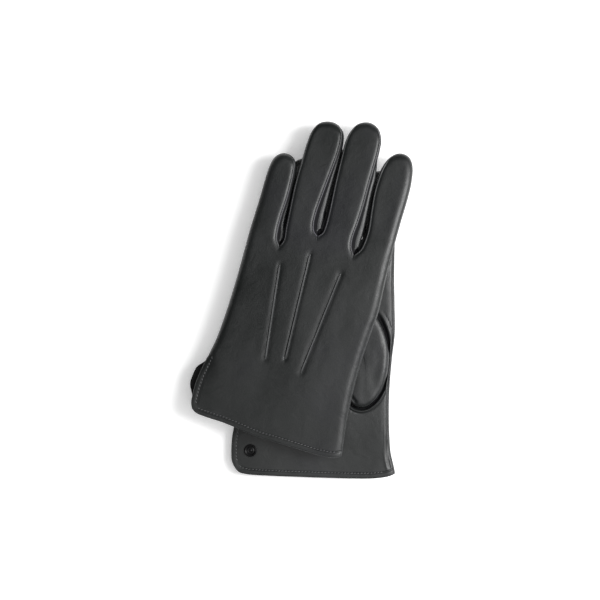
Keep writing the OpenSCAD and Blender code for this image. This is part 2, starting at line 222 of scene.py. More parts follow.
class Pattern:
    """The flat grids of one glove, with the data of its edges."""

    def __init__(self, side):
        self.side = side
        spread = THUMB_SIDE_SPREAD[side]

        def fit(points):
            p = np.array(points, float)
            p[:, 0] = np.where(p[:, 0] > 0, p[:, 0] * spread, p[:, 0])
            return p

        self.outlines = {f: spline(fit(FINGER_OUTLINES[f])) for f in FINGERS}
        self.vent = spline(fit(VENT_EDGE))
        self.thumb = spline(fit(THUMB_EDGE))
        self.cuff = spline(fit(CUFF_EDGE[side]))
        if side == "right":
            self.thumb[:, 1] += CORNER_SHIFT[1] * (1 - smooth(self.thumb[:, 1] / 20))
            self.thumb[:, 0] += CORNER_SHIFT[0] * (1 - smooth(self.thumb[:, 1] / 22))
            self.cuff[:, 0] += CORNER_SHIFT[0] * smooth((self.cuff[:, 0] - 40) / 20)
        self.cuff[-1] = self.thumb[0]
        columns = clustered(FINGER_COLUMNS, 0.8)
        self.fingers, tops = {}, []
        for f in FINGERS:
            line = self.outlines[f]
            tops.append(along(line[[0, -1]], columns))
            self.fingers[f] = self.finger_grid(line, tops[-1], columns)
        top = np.vstack([tops[0]] + [t[1:] for t in tops[1:]])
        across = np.concatenate([columns / 4] + [columns[1:] / 4 + k / 4 for k in (1, 2, 3)])
        bottom = along(self.cuff, across)
        length = lengths(self.thumb)[-1]
        rows = np.concatenate([np.arange(0, CUFF_FINE, CUFF_ROW),
                               np.linspace(CUFF_FINE, length, round((length - CUFF_FINE) / HAND_ROW))])
        rows /= length
        self.hand = coons(bottom, top, along(self.vent, rows), along(self.thumb, rows), across)
        self.note_edges()

    def finger_grid(self, line, base, columns):
        """The grid inside one finger's outline. Its top row follows the round of the tip."""
        heading = np.degrees(np.arctan2(*np.gradient(line, axis=0).T[::-1]))
        peak = int(np.argmax(line[:, 1]))
        start = max(i for i in range(peak) if heading[i] > TIP_COLUMN_ANGLE)
        end = min(i for i in range(peak, len(line)) if heading[i] < -TIP_COLUMN_ANGLE)
        left, tip, right = line[:start + 1], line[start:end + 1], line[end:][::-1]
        rows = round(max(lengths(left)[-1], lengths(right)[-1]) / FINGER_ROW)
        steps = 1 - (1 - np.linspace(0, 1, rows + 1)) ** ROW_EASE
        return coons(base, along(tip, columns), along(left, steps), along(right, steps), columns)

    def note_edges(self):
        """Samples of the whole outline but the cuff, with how the sheets meet at each of them."""
        samples = []

        def add(line, *data):
            samples.append((line, *(np.broadcast_to(value, len(line)) for value in data)))

        closed = smooth((self.vent[:, 1] - VENT_TOP + 8) / 16)
        add(self.vent, FLAP_HALF + (EDGE_HALF - FLAP_HALF) * closed,
            FLAP_R + (FOLD_R - FLAP_R) * closed, 0, 1 - (1 - FOLD_SOFT) * closed)
        for f in FINGERS:
            line = self.outlines[f]
            s = lengths(line)
            peak = s[int(np.argmax(line[:, 1]))]
            k = smooth((np.abs(s - peak) - 3) / TIP_FADE)
            if f == "little":
                k = np.where(s < peak, 0, k)
            if f == "index":
                k = np.where(s > peak, 0, k)
            add(line, EDGE_HALF + (SEAM_HALF - EDGE_HALF) * k, FOLD_R + (SEAM_R - FOLD_R) * k, k,
                FOLD_SOFT * (1 - k))
        add(self.thumb[::-1], EDGE_HALF, FOLD_R, 0, FOLD_SOFT)
        self.line, *self.data = (np.concatenate(column) for column in zip(*samples))
        self.tree = tree_of(self.line)
        flap = self.vent[self.vent[:, 1] < VENT_TOP]
        free = np.vstack([flap[::-1], self.cuff[1:]])
        self.free_tree = tree_of(along(free, np.linspace(0, 1, FREE_SAMPLES)))
        self.thumb_line = closed_spline(THUMB_OUTLINES[self.side], THUMB_SAMPLES)
        self.thumb_tree = tree_of(self.thumb_line)

    def nearest(self, x, y):
        """Distance to the outline, and there: half the opening, radius, seam and softness."""
        _, i, _ = self.tree.find((x, y, 0))
        best = (1e9, 0.0, 0.0, 0.0, 0.0)
        p = np.array((x, y))
        for a in (i - 1, i):
            b = a + 1
            if a < 0 or b >= len(self.line):
                continue
            step = self.line[b] - self.line[a]
            size = float(step @ step)
            t = 0.0 if size < 1e-12 else min(max(float((p - self.line[a]) @ step) / size, 0.0), 1.0)
            d = float(np.linalg.norm(p - self.line[a] - t * step))
            if d < best[0] - 1e-9:
                best = (d, *((1 - t) * v[a] + t * v[b] for v in self.data))
        return best

    def seam_cells(self, grid):
        """Which cells of a flat grid are the raised edge of a sewn seam, coloured with the lighter edge
        leather: cut edge and painted highlight.
        """
        middle = (grid[:-1, :-1] + grid[1:, :-1] + grid[:-1, 1:] + grid[1:, 1:]) / 4
        marked = np.zeros(middle.shape[:2], bool)
        for r in range(marked.shape[0]):
            for c in range(marked.shape[1]):
                d, _, _, seam, _ = self.nearest(*middle[r, c])
                marked[r, c] = d < SEAM_EDGE and seam > 0.35
        return marked

    def point_depth(self, x, y):
        """How deep the tucks on the back draw the leather down round a place."""
        nearest = min(segment_distance((x, y), a, b) for a, b in POINTS)
        return bell(nearest, POINT_HALF) + 1.2 * bell(nearest, TUCK_ROOM)

    def height(self, x, y, sheet, plain=False):
        """Height of the upper or lower sheet of leather over the pattern plane. A plain one has no
        groove left for the thumb's seam."""
        d, half, radius, seam, soft = self.nearest(x, y)
        q = min(d / radius, 1.0)
        rise = (1 - soft) * math.sqrt(max(1 - (1 - q) ** 2, 0.0)) + soft * math.sin(q * math.pi / 2)
        wave = noise.noise(Vector((x / 34, y / 46, 3.7 if sheet == "high" else 9.1)))
        detail = seam * (SEAM_RIDGE[0] * bell(d - SEAM_RIDGE[1], SEAM_LINE_W)
                         - SEAM_GROOVE[0] * bell(d - SEAM_GROOVE[1], SEAM_LINE_W))
        if (sheet == "high") == (self.side == "left"):
            detail -= 0.45 * self.point_depth(x, y)
        elif x > 0:
            detail += self.side_relief(x, y, d)
            if not plain:
                detail -= self.thumb_groove(x, y)
        if y < VENT_TOP + HEM_FADE:
            detail += self.hem_relief(x, y)
        if sheet == "high":
            full = self.top_height(x, y, wave)
            return MIDDLE_Z + half + (full - MIDDLE_Z - half) * rise + detail
        flat = FLOOR_GAP + 0.15 * (wave + 1)
        return MIDDLE_Z - half - (MIDDLE_Z - half - flat) * rise - 0.5 * detail

    def top_height(self, x, y, wave):
        """Height of the upper sheet away from its edges, with its crown, sag and waves."""
        ripple = noise.noise(Vector((x / 11, y / 17, 5.5)))
        sag = CUFF_SAG * float(smooth((55 - y) / 60))
        across = min(abs(x + 2) / 58, 1.0)
        crown = CROWN[self.side] * (1 - across ** 2) * (1 - float(smooth((y - 110) / 60)))
        return GLOVE_H + 0.3 - sag + crown + WAVE * wave + RIPPLE * ripple

    def side_relief(self, x, y, d):
        """The stitched groove of the palm along the thumb's side, with the roll beside it."""
        inset = 1.3 + 2.2 * float(smooth((45 - y) / 45))
        shown = min(max((165 - y) / 10, 0.0), 1.0) * float(smooth((self.hem_distance(x, y) - 3) / 4))
        return shown * (0.7 * bell(d - inset - 1.1, 0.6) - 1.3 * bell(d - inset, 0.45))

    def hem_relief(self, x, y):
        """The turned edge round the cuff and the vent, and the groove that its stitches lie in."""
        inset = self.hem_distance(x, y)
        shown = 1 - float(smooth((y - VENT_TOP) / HEM_FADE))
        return shown * (0.12 * bell(inset - 1.9, 1.0) - 0.36 * bell(inset - 3.6, 0.5))

    def thumb_groove(self, x, y):
        """How far the palm is sunk under the seam round the thumb's root."""
        if self.side == "left" or not (12 < x < 66 and 40 < y < 142):
            return 0.0
        _, i, d = self.thumb_tree.find((x, y, 0))
        shown, wedge = welt_shown(*self.thumb_line[i])
        reach = min(2.6 + 2.0 * wedge, max(self.nearest(*self.thumb_line[i])[0] - 0.9, 0.6))
        return shown * 2.0 * (1 - float(smooth((d - reach + 0.9) / 1.4)))

    def hem_distance(self, x, y):
        """Distance to the free edge of the cuff and the vent."""
        return self.free_tree.find((x, y, 0))[2]

    def lift(self, grid, sheet, offset=0.0):
        """A flat grid raised to a sheet of leather, or offset inwards from it for the lining."""
        out = np.zeros((*grid.shape[:2], 3))
        out[..., :2] = grid
        if self.side == "left" and sheet == "low":
            rise = smooth((grid[..., 1] - 10) / 14) * (1 - smooth((grid[..., 1] - 34) / 9.5))
            out[..., 0] -= PEEK * rise * (1 - smooth((grid[..., 0] + 60) / 22))
        for r in range(grid.shape[0]):
            for c in range(grid.shape[1]):
                z = self.height(*grid[r, c], sheet)
                if offset:
                    inner = z - offset if sheet == "high" else z + offset
                    z = max(inner, MIDDLE_Z + 0.1) if sheet == "high" else min(inner, MIDDLE_Z - 0.1)
                out[r, c, 2] = z
        return out


# ---- places on the CAD frame

JOINTS = {j["name"]: j for j in frame["joints"]}


def axes_of(side):
    """The glove's own axes and origin in the row frame, read off its joints."""
    if side == "right":
        at = Vector(JOINTS["right_index_spread"]["pos_m"])
        x, y, z = Vector((1, 0, 0)), Vector((0, 1, 0)), Vector((0, 0, 1))
        local = Vector((HINGE_X["index"], HINGE_Y["index"], GLOVE_H / 2)) * MM
    else:
        hinge = JOINTS["left_index_bend_back"]
        at = Vector(hinge["pos_m"])
        x = Vector(hinge["axis"])
        z = -Vector(JOINTS["left_thumb_swing"]["axis"])
        y = z.cross(x)
        local = Vector((HINGE_X["index"], HINGE_Y["index"], GLOVE_H)) * MM
    turn = np.array([x, y, z]).T
    return turn, np.array(at) - turn @ np.array(local)


AXES = {side: axes_of(side) for side in ("left", "right")}


def finger_lie(side, finger, p):
    """Points of a drooping or leaning finger, in millimetres. The bend starts at its base."""
    p = np.array(p, float)
    w = smooth((p[..., 1] - BLEND_START[finger]) / BLEND_LENGTH)
    x, y, z = p[..., 0].copy(), p[..., 1].copy(), p[..., 2].copy()
    if side == "left":
        a = -np.radians(DROOP[finger]) * w
        dy, dz = y - HINGE_Y[finger], z - GLOVE_H
        p[..., 1] = HINGE_Y[finger] + dy * np.cos(a) - dz * np.sin(a)
        p[..., 2] = GLOVE_H + dy * np.sin(a) + dz * np.cos(a)
    else:
        a = -np.radians(TOE_IN[finger]) * w
        dx, dy = x - HINGE_X[finger], y - HINGE_Y[finger]
        p[..., 0] = HINGE_X[finger] + dx * np.cos(a) - dy * np.sin(a)
        p[..., 1] = HINGE_Y[finger] + dx * np.sin(a) + dy * np.cos(a)
    return p


def place(side, p, finger=None):
    """Pattern millimetres to row-frame metres."""
    if finger:
        p = finger_lie(side, finger, p)
    turn, origin = AXES[side]
    return np.asarray(p) * MM @ turn.T + origin


# ---- meshes

def link(name, data):
    """A new object in the scene."""
    obj = bpy.data.objects.new(name, data)
    bpy.context.scene.collection.objects.link(obj)
    return obj


def new_object(name, points, faces, materials, body, normals=None, face_slots=None):
    mesh = bpy.data.meshes.new(name)
    mesh.from_pydata(np.asarray(points, float).tolist(), [], faces)
    mesh.update()
    for m in materials:
        mesh.materials.append(m)
    if face_slots is not None:
        mesh.polygons.foreach_set("material_index", np.array(face_slots, dtype=np.int32))
    mesh.polygons.foreach_set("use_smooth", [True] * len(mesh.polygons))
    if normals is not None:
        mesh.normals_split_custom_set_from_vertices(normals.tolist())
    obj = link(name, mesh)
    if body:
        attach(obj, body)
    return obj


def blend_finger(obj, side, finger):
    """Bakes the piece's transform into its mesh. Its points already bend from the hand into the finger.
    """
    ends = [np.array((HINGE_X[finger], BLEND_START[finger] + k, GLOVE_H / 2)) for k in (0, BLEND_LENGTH)]
    start, end = (place(side, e) for e in ends)
    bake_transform(obj)


class Shell:
    """Grids of points that share their edges. It is cut into pieces once the normals are known."""

    def __init__(self):
        self.index, self.points, self.faces, self.labels = {}, [], [], []

    def vertex(self, p):
        key = tuple(round(float(c), 7) for c in p)
        if key not in self.index:
            self.index[key] = len(self.points)
            self.points.append(p)
        return self.index[key]

    def grid(self, points, label, flip=False, edge=None):
        """Adds a grid. Each cell takes the material number marked for it in edge, kept with its label: 1
        the lighter edge leather with painted highlight, 2 the painted shade leather.
        """
        ids = [[self.vertex(p) for p in row] for row in points]
        for r in range(len(ids) - 1):
            for c in range(len(ids[0]) - 1):
                f = [ids[r][c], ids[r][c + 1], ids[r + 1][c + 1], ids[r + 1][c]]
                f = [v for k, v in enumerate(f) if v != f[k - 1]]
                if len(f) > 2:
                    self.faces.append(f[::-1] if flip else f)
                    self.labels.append((label, 0 if edge is None else int(edge[r, c])))

    def finish(self):
        self.points = np.array(self.points)
        normals = np.zeros_like(self.points)
        for f in self.faces:
            a, b, c = (self.points[f[k]] for k in (0, 1, 2))
            n = np.cross(b - a, c - a)
            if len(f) == 4:
                n = np.cross(c - a, self.points[f[3]] - b)
            for v in f:
                normals[v] += n
        size = np.linalg.norm(normals, axis=1, keepdims=True)
        self.normals = normals / np.where(size < 1e-20, 1, size)

    def piece(self, labels, name, materials, body, slot):
        chosen = [f for f, k in zip(self.faces, self.labels) if k[0] in labels]
        used = sorted({v for f in chosen for v in f})
        number = {v: i for i, v in enumerate(used)}
        slots = [k[1] for k in self.labels if k[0] in labels] if len(materials) > 1 else None
        return new_object(name, self.points[used], [[number[v] for v in f] for f in chosen],
                          materials, body, self.normals[used], slots)


def outward(line):
    """Unit normals of a polyline, on its left as it runs."""
    t = np.gradient(line, axis=0)
    n = np.stack([-t[:, 1], t[:, 0]], axis=1)
    return n / np.maximum(np.linalg.norm(n, axis=1, keepdims=True), 1e-9)


# How a fourchette's section runs from the upper seam to its middle: [share of its height, share of
# its bulge, millimetres set back under the seam]. The lower half is the same, turned over.
HALF_WALL = [(0.0, 0.0, 0.0), (0.02, 0.0, 0.05), (0.05, 0.0, 0.4), (0.1, 0.0, 0.7), (0.17, 0.0, 0.6),
             (0.2, 0.0, 0.1), (0.21, 0.0, -0.45), (0.24, 0.4, 0.0), (0.27, 0.6, 0.0),
             (0.32, 0.78, 0.0), (0.38, 0.91, 0.0), (0.44, 0.98, 0.0)]
WALL = HALF_WALL + [(0.5, 1.0, 0.0)] + [(1 - share, *rest) for share, *rest in HALF_WALL[::-1]]
# this part of the section is coloured with painted shade
WALL_SHADE = (0.02, 0.22)       # the part of that section that lies in the seam, out of the light


def wall_rows(high, low, normals, bulge):
    """The strip between two sheets' edges, bulging outwards."""
    room = np.clip((high[:, 2] - low[:, 2] - 1) / 4, 0, 1)
    rows = []
    for share, out, back in WALL:
        p = high + (low - high) * share
        set_back = back * room * (np.minimum(bulge, 1) if back < 0 else 1)
        p[:, :2] += normals * (out * bulge - set_back)[:, None]
        rows.append(p)
    rows[0], rows[-1] = high.copy(), low.copy()
    return np.array(rows)


def section_cells(section, rows, mark):
    """Marks the cells of a strip by their middle's place on its section."""
    middles = [(a[0] + b[0]) / 2 for a, b in zip(section, section[1:])]
    return np.array([[mark(m) for m in middles]] * (len(rows) - 1))


def ring_of(grid):
    """The outline of a finger's grid, from its base on one side round the tip to the other."""
    return np.vstack([grid[:, 0], grid[-1, 1:-1], grid[::-1, -1]])


# ---- materials

def put(node, **values):
    """Sets a node's sockets. An underscore in a name stands for a space."""
    for name, value in values.items():
        node.inputs[name.replace("_", " ")].default_value = value


def shader(name, colour, roughness, **more):
    """A material with a principled shader, its node tree and that shader."""
    material = bpy.data.materials.new(name)
    material.use_nodes = True
    tree = material.node_tree
    bsdf = tree.nodes["Principled BSDF"]
    put(bsdf, Base_Color=(*colour, 1), Roughness=roughness, **more)
    return material, tree, bsdf


def object_coordinates(tree):
    return tree.nodes.new("ShaderNodeTexCoord").outputs["Object"]


def texture(tree, kind, where, **values):
    node = tree.nodes.new("ShaderNodeTex" + kind)
    put(node, **values)
    tree.links.new(where, node.inputs["Vector"])
    return node


def noise_fac(tree, where, scale, detail=3.0, distortion=0.0):
    node = texture(tree, "Noise", where, Scale=scale, Detail=detail, Distortion=distortion)
    return node.outputs["Fac"]


def tone(tree, bsdf, fac, stops):
    """Colours the shader by a ramp over the value: stops of (place, colour)."""
    node = tree.nodes.new("ShaderNodeValToRGB")
    ramp = node.color_ramp
    while len(ramp.elements) < len(stops):
        ramp.elements.new(0.5)
    for element, (at, colour) in zip(ramp.elements, stops):
        element.position = at
        element.color = (*colour, 1)
    tree.links.new(fac, node.inputs["Fac"])
    tree.links.new(node.outputs["Color"], bsdf.inputs["Base Color"])


def uneven_gloss(tree, bsdf, fac, low, high):
    node = tree.nodes.new("ShaderNodeMapRange")
    put(node, To_Min=low, To_Max=high)
    tree.links.new(fac, node.inputs["Value"])
    tree.links.new(node.outputs["Result"], bsdf.inputs["Roughness"])


def relief(tree, bsdf, *layers):
    """Bump layers on the shader, the first at the bottom: each (value, strength, distance)."""
    below = None
    for height, strength, distance in layers:
        node = tree.nodes.new("ShaderNodeBump")
        put(node, Strength=strength, Distance=distance)
        tree.links.new(height, node.inputs["Height"])
        if below is not None:
            tree.links.new(below, node.inputs["Normal"])
        below = node.outputs["Normal"]
    tree.links.new(below, bsdf.inputs["Normal"])


def leather_material(name, dark, light, roughness, shine=0.34):
    """Smooth dyed nappa: fine grain and pores, soft creases, a worn and uneven shine."""
    material, tree, bsdf = shader(name, dark, roughness, Specular_IOR_Level=shine,
                                  Coat_Weight=0.18 * shine, Coat_Roughness=0.3)
    where = object_coordinates(tree)
    tint = (light[0] * 1.03, light[1] * 0.98, light[2] * 1.12)
    tone(tree, bsdf, noise_fac(tree, where, 16, 4), [(0.34, dark), (0.52, light), (0.7, tint)])
    uneven_gloss(tree, bsdf, noise_fac(tree, where, 75, 6), roughness - 0.07, roughness + 0.09)
    cells = texture(tree, "Voronoi", where, Scale=1150)
    cells.feature = "DISTANCE_TO_EDGE"
    creases, pores = noise_fac(tree, where, 95, 5, 0.6), noise_fac(tree, where, 2400, 2)
    relief(tree, bsdf, (creases, 0.22, 0.0016), (cells.outputs["Distance"], 0.26, 0.0003),
           (pores, 0.12, 0.0002))
    return material


def knit_material(name):
    """Fine black jersey: rows of small stitches, matte."""
    material, tree, bsdf = shader(name, (0.018, 0.018, 0.02), 0.92, Sheen_Weight=0.25)
    where = object_coordinates(tree)
    rows = texture(tree, "Wave", where, Scale=260, Distortion=1.5)
    tone(tree, bsdf, noise_fac(tree, where, 60),
         [(0.3, (0.012, 0.012, 0.014)), (0.7, (0.03, 0.03, 0.033))])
    relief(tree, bsdf, (rows.outputs["Fac"], 0.5, 0.0004), (noise_fac(tree, where, 1300, 4), 0.4, 0.0003))
    return material


def thread_material(name):
    """Twisted thread, slightly lighter than the leather."""
    material, tree, bsdf = shader(name, (0.06, 0.06, 0.062), 0.6, Sheen_Weight=0.3)
    where = object_coordinates(tree)
    twist = texture(tree, "Wave", where, Scale=900)
    twist.bands_direction = "DIAGONAL"
    tone(tree, bsdf, noise_fac(tree, where, 400),
         [(0.3, (0.045, 0.045, 0.047)), (0.7, (0.11, 0.11, 0.115))])
    relief(tree, bsdf, (twist.outputs["Fac"], 0.5, 0.0002))
    return material


def rivet_material(name):
    """Black enamelled metal with fine turning marks and small scuffs."""
    material, tree, bsdf = shader(name, (0.006, 0.006, 0.007), 0.34, Specular_IOR_Level=0.13)
    where = object_coordinates(tree)
    scuffs = noise_fac(tree, where, 900, 5)
    uneven_gloss(tree, bsdf, scuffs, 0.2, 0.42)
    tone(tree, bsdf, noise_fac(tree, where, 500, 4),
         [(0.35, (0.0012, 0.0012, 0.0014)), (0.75, (0.003, 0.003, 0.0034))])
    relief(tree, bsdf, (scuffs, 0.2, 0.0001))
    return material


def floor_material():
    return shader("floor", (0.93, 0.93, 0.93), 0.9, Specular_IOR_Level=0.1,
                  Emission_Color=(1, 1, 1, 1), Emission_Strength=0.3)[0]


LEATHER = leather_material("glove_leather", (0.0052, 0.0064, 0.0062), (0.011, 0.0122, 0.0122), 0.38)
# lighter leather: the cut edge along seams, with painted highlight on the seam and tuck ridges
EDGE_AND_HIGHLIGHT = leather_material("leather_edge_and_painted_highlight", (0.035, 0.036, 0.037), (0.07, 0.071, 0.073), 0.45)
# painted shade: a darker, duller copy of the leather for the facings, seam recesses, crotches, quirks,
# vent rim and thumb seam, where shade falls
PAINTED_SHADE = leather_material("painted_shade_leather", (0.002, 0.002, 0.0025), (0.005, 0.005, 0.006), 0.6, 0.12)
KNIT = knit_material("knitted_lining")
THREAD = thread_material("sewing_thread")
METAL = rivet_material("rivet_enamel")
# the second is partly painted highlight, the third is painted shade
SKIN = [LEATHER, EDGE_AND_HIGHLIGHT, PAINTED_SHADE]      # a piece's cells pick one of these by number


# ---- the shell of one glove

# The share of the gap to the next finger that a fourchette fills, on each side of a finger
FILL_LEFT, FILL_RIGHT = 0.2, 0.64
CLOSE_LEFT, CLOSE_RIGHT = 0.3, 0.4       # and added to that at the crotch, which is sewn shut
GAP_BULGE = {"left": 1.0, "right": 0.45}
OUTER_BULGE, TIP_BULGE = 0.3, 0.5       # a fourchette's bulge on the outermost sides and at the tip
FACING_ROWS = 22         # rows of the hand's grid that the hem's facing covers
LINING_STOP = 8          # and at its upper end, rows that the lining leaves free
VENT_FACING_W = 5.0
# painted shade covers the fourchettes this near a crotch
CROTCH_PAINTED_SHADE = 5.0        # the fourchettes are in the dark this near a crotch
RIM_OUT = 0.55           # how far the turned edge of the cuff stands out
# The gusset at a crotch: half its width and length, how far its middle is above the crotch, its section
QUIRK_HALF, QUIRK_UP, QUIRK_SIDES = (2.4, 4.6), 1.2, 24
QUIRK_PROFILE = [(0, 0.6), (0.5, 0.55), (0.85, 0.35), (1.0, 0.0), (0.85, -0.35), (0.5, -0.55), (0, -0.6)]


def neighbour(pattern, finger, step):
    """The outline of the next finger on that side, or None."""
    order = FINGERS.index(finger) + step
    return pattern.outlines[FINGERS[order]] if 0 <= order < len(FINGERS) else None


def gap_beside(pattern, finger, line, step):
    """Distance from each point of a finger's outline to the next finger on that side."""
    other = neighbour(pattern, finger, step)
    if other is None:
        return np.full(len(line), OUTER_BULGE / FILL_RIGHT)
    return np.array([np.min(np.linalg.norm(other - p, axis=1)) for p in line])


def top_beside(pattern, finger, step):
    """How far up the next finger reaches on that side."""
    other = neighbour(pattern, finger, step)
    return 1e3 if other is None else float(np.max(other[:, 1]))


def bulge_along(pattern, finger, line):
    """How far a finger's fourchettes stand out, all the way round its outline."""
    s = lengths(line)
    peak = int(np.argmax(line[:, 1]))
    before = np.arange(len(line)) < peak
    gap = np.where(before, gap_beside(pattern, finger, line, -1), gap_beside(pattern, finger, line, 1))
    closing = 1 - smooth((np.minimum(s, s[-1] - s) - 9) / 11)
    fill = np.where(before, FILL_LEFT + CLOSE_LEFT * closing, FILL_RIGHT + CLOSE_RIGHT * closing)
    wide = np.clip(gap * fill, 0.15, 6.5)
    beside = np.where(before, top_beside(pattern, finger, -1), top_beside(pattern, finger, 1))
    past = smooth((line[:, 1] - beside + 28) / 20)
    at_tip = np.maximum(1 - smooth((np.abs(s - s[peak]) - 8) / 16), past)
    return (wide * (1 - at_tip) + TIP_BULGE * at_tip) * GAP_BULGE[pattern.side]


def build_shell(pattern):
    """One glove's sheets, side strips, cuff rim and lining, as labelled grids of one mesh."""
    side = pattern.side
    shell = Shell()
    for sheet in ("high", "low"):
        for part, flat in [("hand", pattern.hand), *pattern.fingers.items()]:
            grid = pattern.sheets[sheet, part] = pattern.lift(flat, sheet)
            placed = place(side, grid, None if part == "hand" else part)
            shell.grid(placed, f"{sheet}_{part}", sheet == "low", pattern.seam_cells(flat))
    for f in FINGERS:
        high, low = (ring_of(pattern.sheets[s, f]) for s in ("high", "low"))
        normals = outward(high[:, :2])
        rows = wall_rows(high, low, normals, bulge_along(pattern, f, high[:, :2]))
        # painted shade: wall cells in the seam's recess and near the crotches take the shade leather
        deep = (high[:, 2] - low[:, 2])[:-1] > 4
        shade = [WALL_SHADE[0] <= min(a[0], 1 - b[0]) < WALL_SHADE[1] for a, b in zip(WALL, WALL[1:])]
        cells = np.array(shade)[:, None] & deep[None, :]
        from_end = np.minimum(lengths(high[:, :2]), lengths(high[::-1, :2])[::-1])[:-1]
        cells[2:-2] |= from_end[None, :] < CROTCH_PAINTED_SHADE
        shell.grid(place(side, rows, f), f"strip_{f}", True, cells * 2)
    for column, label in ((0, "strip_vent"), (-1, "strip_fold")):
        high, low = (pattern.sheets[s, "hand"][:, column] for s in ("high", "low"))
        if column == 0:
            keep = high[:, 1] > VENT_TOP
            high, low = high[keep], low[keep]
        normals = outward(high[:, :2]) * (1 if column == 0 else -1)
        rows = wall_rows(high, low, normals, np.full(len(high), 0.35))
        shell.grid(place(side, rows), label, column == 0)
    for left, right in zip(FINGERS, FINGERS[1:]):
        add_quirk(shell, pattern, left, right)
    add_rims(shell, pattern)
    shell.finish()
    return shell


def add_quirk(shell, pattern, left, right):
    """The small gusset that closes the foot of the gap between two fingers, all in painted shade."""
    foot = (pattern.outlines[left][-1] + pattern.outlines[right][0]) / 2
    middle = sum(pattern.height(foot[0], foot[1] - 3, sheet, plain=True) for sheet in ("high", "low")) / 2
    angles = np.linspace(0, 2 * math.pi, QUIRK_SIDES + 1)
    ring = np.column_stack([np.cos(angles) * QUIRK_HALF[0], np.sin(angles) * QUIRK_HALF[1]])
    ring[-1] = ring[0]
    rows = [np.column_stack([foot + (0, QUIRK_UP) + ring * share, np.full(len(ring), middle + height)])
            for share, height in QUIRK_PROFILE]
    # painted shade on every cell of the gusset
    dark = np.full((len(rows) - 1, QUIRK_SIDES), 2)
    shell.grid(place(pattern.side, np.array(rows)), "quirk", True, dark)


def add_rims(shell, pattern):
    """The turned edge round the cuff and the vent, and the facing and lining behind it. The lower sheet's
    turned vent edge is painted shade.
    """
    side = pattern.side
    last = next(r for r, p in enumerate(pattern.hand[:, 0]) if p[1] > VENT_TOP)
    for sheet in ("high", "low"):
        turned = sheet == "high"

        def add(part, points, flip=turned, cells=None):
            shell.grid(place(side, points), f"{part}_{sheet}", flip, cells)

        outer = pattern.sheets[sheet, "hand"]
        inner = pattern.lift(pattern.hand, sheet, INNER_OFFSET)
        add("facing", inner[:FACING_ROWS + 1])
        strip = int(np.argmax(inner[FACING_ROWS, :, 0] - inner[FACING_ROWS, 0, 0] > VENT_FACING_W))
        add("facing", inner[FACING_ROWS:last + 1, :strip + 1])
        add("lining", inner[FACING_ROWS:last + 1, strip:])
        add("lining", inner[last:-LINING_STOP])
        add("rim", rounded_edge(outer[0], inner[0], -outward(outer[0, :, :2])))
        edge = outer[:last + 1, 0]
        rows = rounded_edge(edge, inner[:last + 1, 0], outward(edge[:, :2]))
        # painted shade: the lower sheet's turned edge along the vent takes the shade leather
        add("rim", rows, not turned, np.full((len(rows) - 1, last), 2 if sheet == "low" else 0))


def rounded_edge(outer, inner, normals):
    """Rows from the leather's edge round to the lining's."""
    rows = []
    for t in np.linspace(0, 1, 6):
        p = outer + (inner - outer) * t
        p[:, :2] += normals * (RIM_OUT * math.sin(math.pi * t))
        rows.append(p)
    rows[0], rows[-1] = outer.copy(), inner.copy()
    return np.array(rows)


def build_glove(side):
    pattern = Pattern(side)
    pattern.sheets = {}
    shell = build_shell(pattern)
    hand = f"{side}_hand"
    labels = ["high_hand", "low_hand", "strip_vent", "strip_fold", "rim_high", "rim_low", "quirk"]
    leather = shell.piece(labels, f"{side}_hand_leather", SKIN, hand, "leather")
    nodes = ("back", "palm", "thumb_side_fold", "outer_seam", "quirks")
    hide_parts(*(f"{side}_{part}" for part in nodes))
    labels = ["facing_high", "facing_low"]
    # the hem and vent facings, coloured with painted shade
    facing = shell.piece(labels, f"{side}_facing_leather", [PAINTED_SHADE], hand, "leather")
    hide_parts(f"{side}_hem_facing", f"{side}_vent_facing")
    knit = shell.piece(["lining_high", "lining_low"], f"{side}_hand_knit", [KNIT], hand, "lining")
    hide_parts(f"{side}_hand_lining")
    for f in FINGERS:
        labels = [f"high_{f}", f"low_{f}", f"strip_{f}"]
        obj = shell.piece(labels, f"{side}_{f}_leather", SKIN, None, "leather")
        blend_finger(obj, side, f)
        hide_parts(*(f"{side}_{f}_{part}" for part in ("back", "front", "fourchette", "lining")))
    return pattern


# ---- the thumbs

# The thumb as it lies on the palm: outline, anticlockwise from its base, and the spine it swells to.
THUMB_OUTLINES = {
    "right": [(25, 60), (30, 54), (37.5, 52.6), (45, 57), (51, 65.5), (55, 78), (56.4, 92), (54.6, 105),
              (50.4, 116.5), (44, 127), (36, 135), (28, 140.5), (19, 142.5), (9.5, 139.5), (4.5, 131),
              (5.5, 120), (11.5, 107), (16.5, 92), (19.5, 75)],
    "left": [(26, 60), (31, 54), (37.5, 52.4), (44, 54), (49, 60), (50.6, 72), (50.6, 90), (50.5, 110),
             (50, 128), (47, 139), (41, 144.6), (34, 144.6), (28, 139), (25, 128), (24.6, 110),
             (24.4, 90), (24.6, 72)],
}
THUMB_SPINES = {"right": [(39, 74), (37, 92), (29, 110), (19, 127)],
                "left": [(37.5, 68), (37.5, 90), (37.5, 110), (37.5, 130)]}
THUMB_HEIGHT = {"right": (3.7, 3.7), "left": (3.5, 3.4)}
THUMB_RINGS = 26
THUMB_BEND = {"right": ((39, 70), (26, 112)), "left": ((37.5, 70), (37.5, 108))}    # two points along the thumb's spine
THUMB_CREASE = ((25.5, 64.5), (31.5, 57.0), 1.4)        # a fold at the thumb's root: its ends, its depth
THUMB_SKIN_GAP = 0.25
THUMB_ROUND = 6.0


